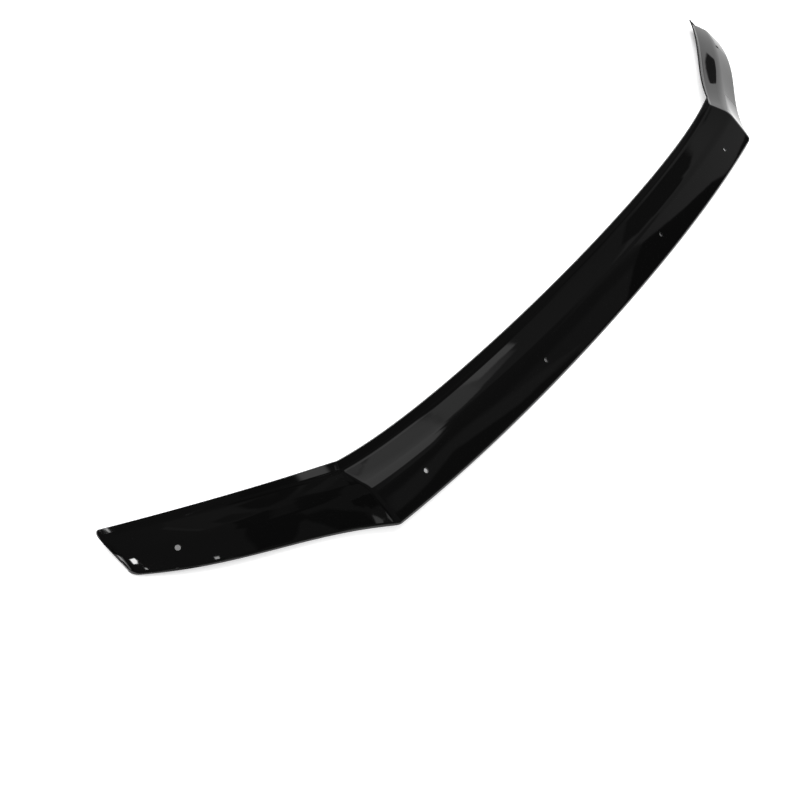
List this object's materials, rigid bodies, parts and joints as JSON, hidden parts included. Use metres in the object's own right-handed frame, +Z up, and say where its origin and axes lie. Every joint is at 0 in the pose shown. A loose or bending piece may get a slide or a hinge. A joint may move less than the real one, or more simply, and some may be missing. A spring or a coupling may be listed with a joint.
{
  "type": "hood bug deflector",
  "caption": "Gloss black sheet deflector for a bonnet edge: a bowed blade with an upturned rear lip and two swept wings, drilled for screws.",
  "frame": {"origin": "on the surface that it lies on, under the centre of its box", "axes": "+X across the vehicle, +Y from the front edge towards the windscreen, +Z up out of the glossy face"},
  "size_m": [1.5408, 0.2692, 0.0442],
  "materials": {
    "acrylic": "polished black thermoformed acrylic"
  },
  "bodies": {
    "root": {"deflector": "acrylic"}
  },
  "joints": []
}
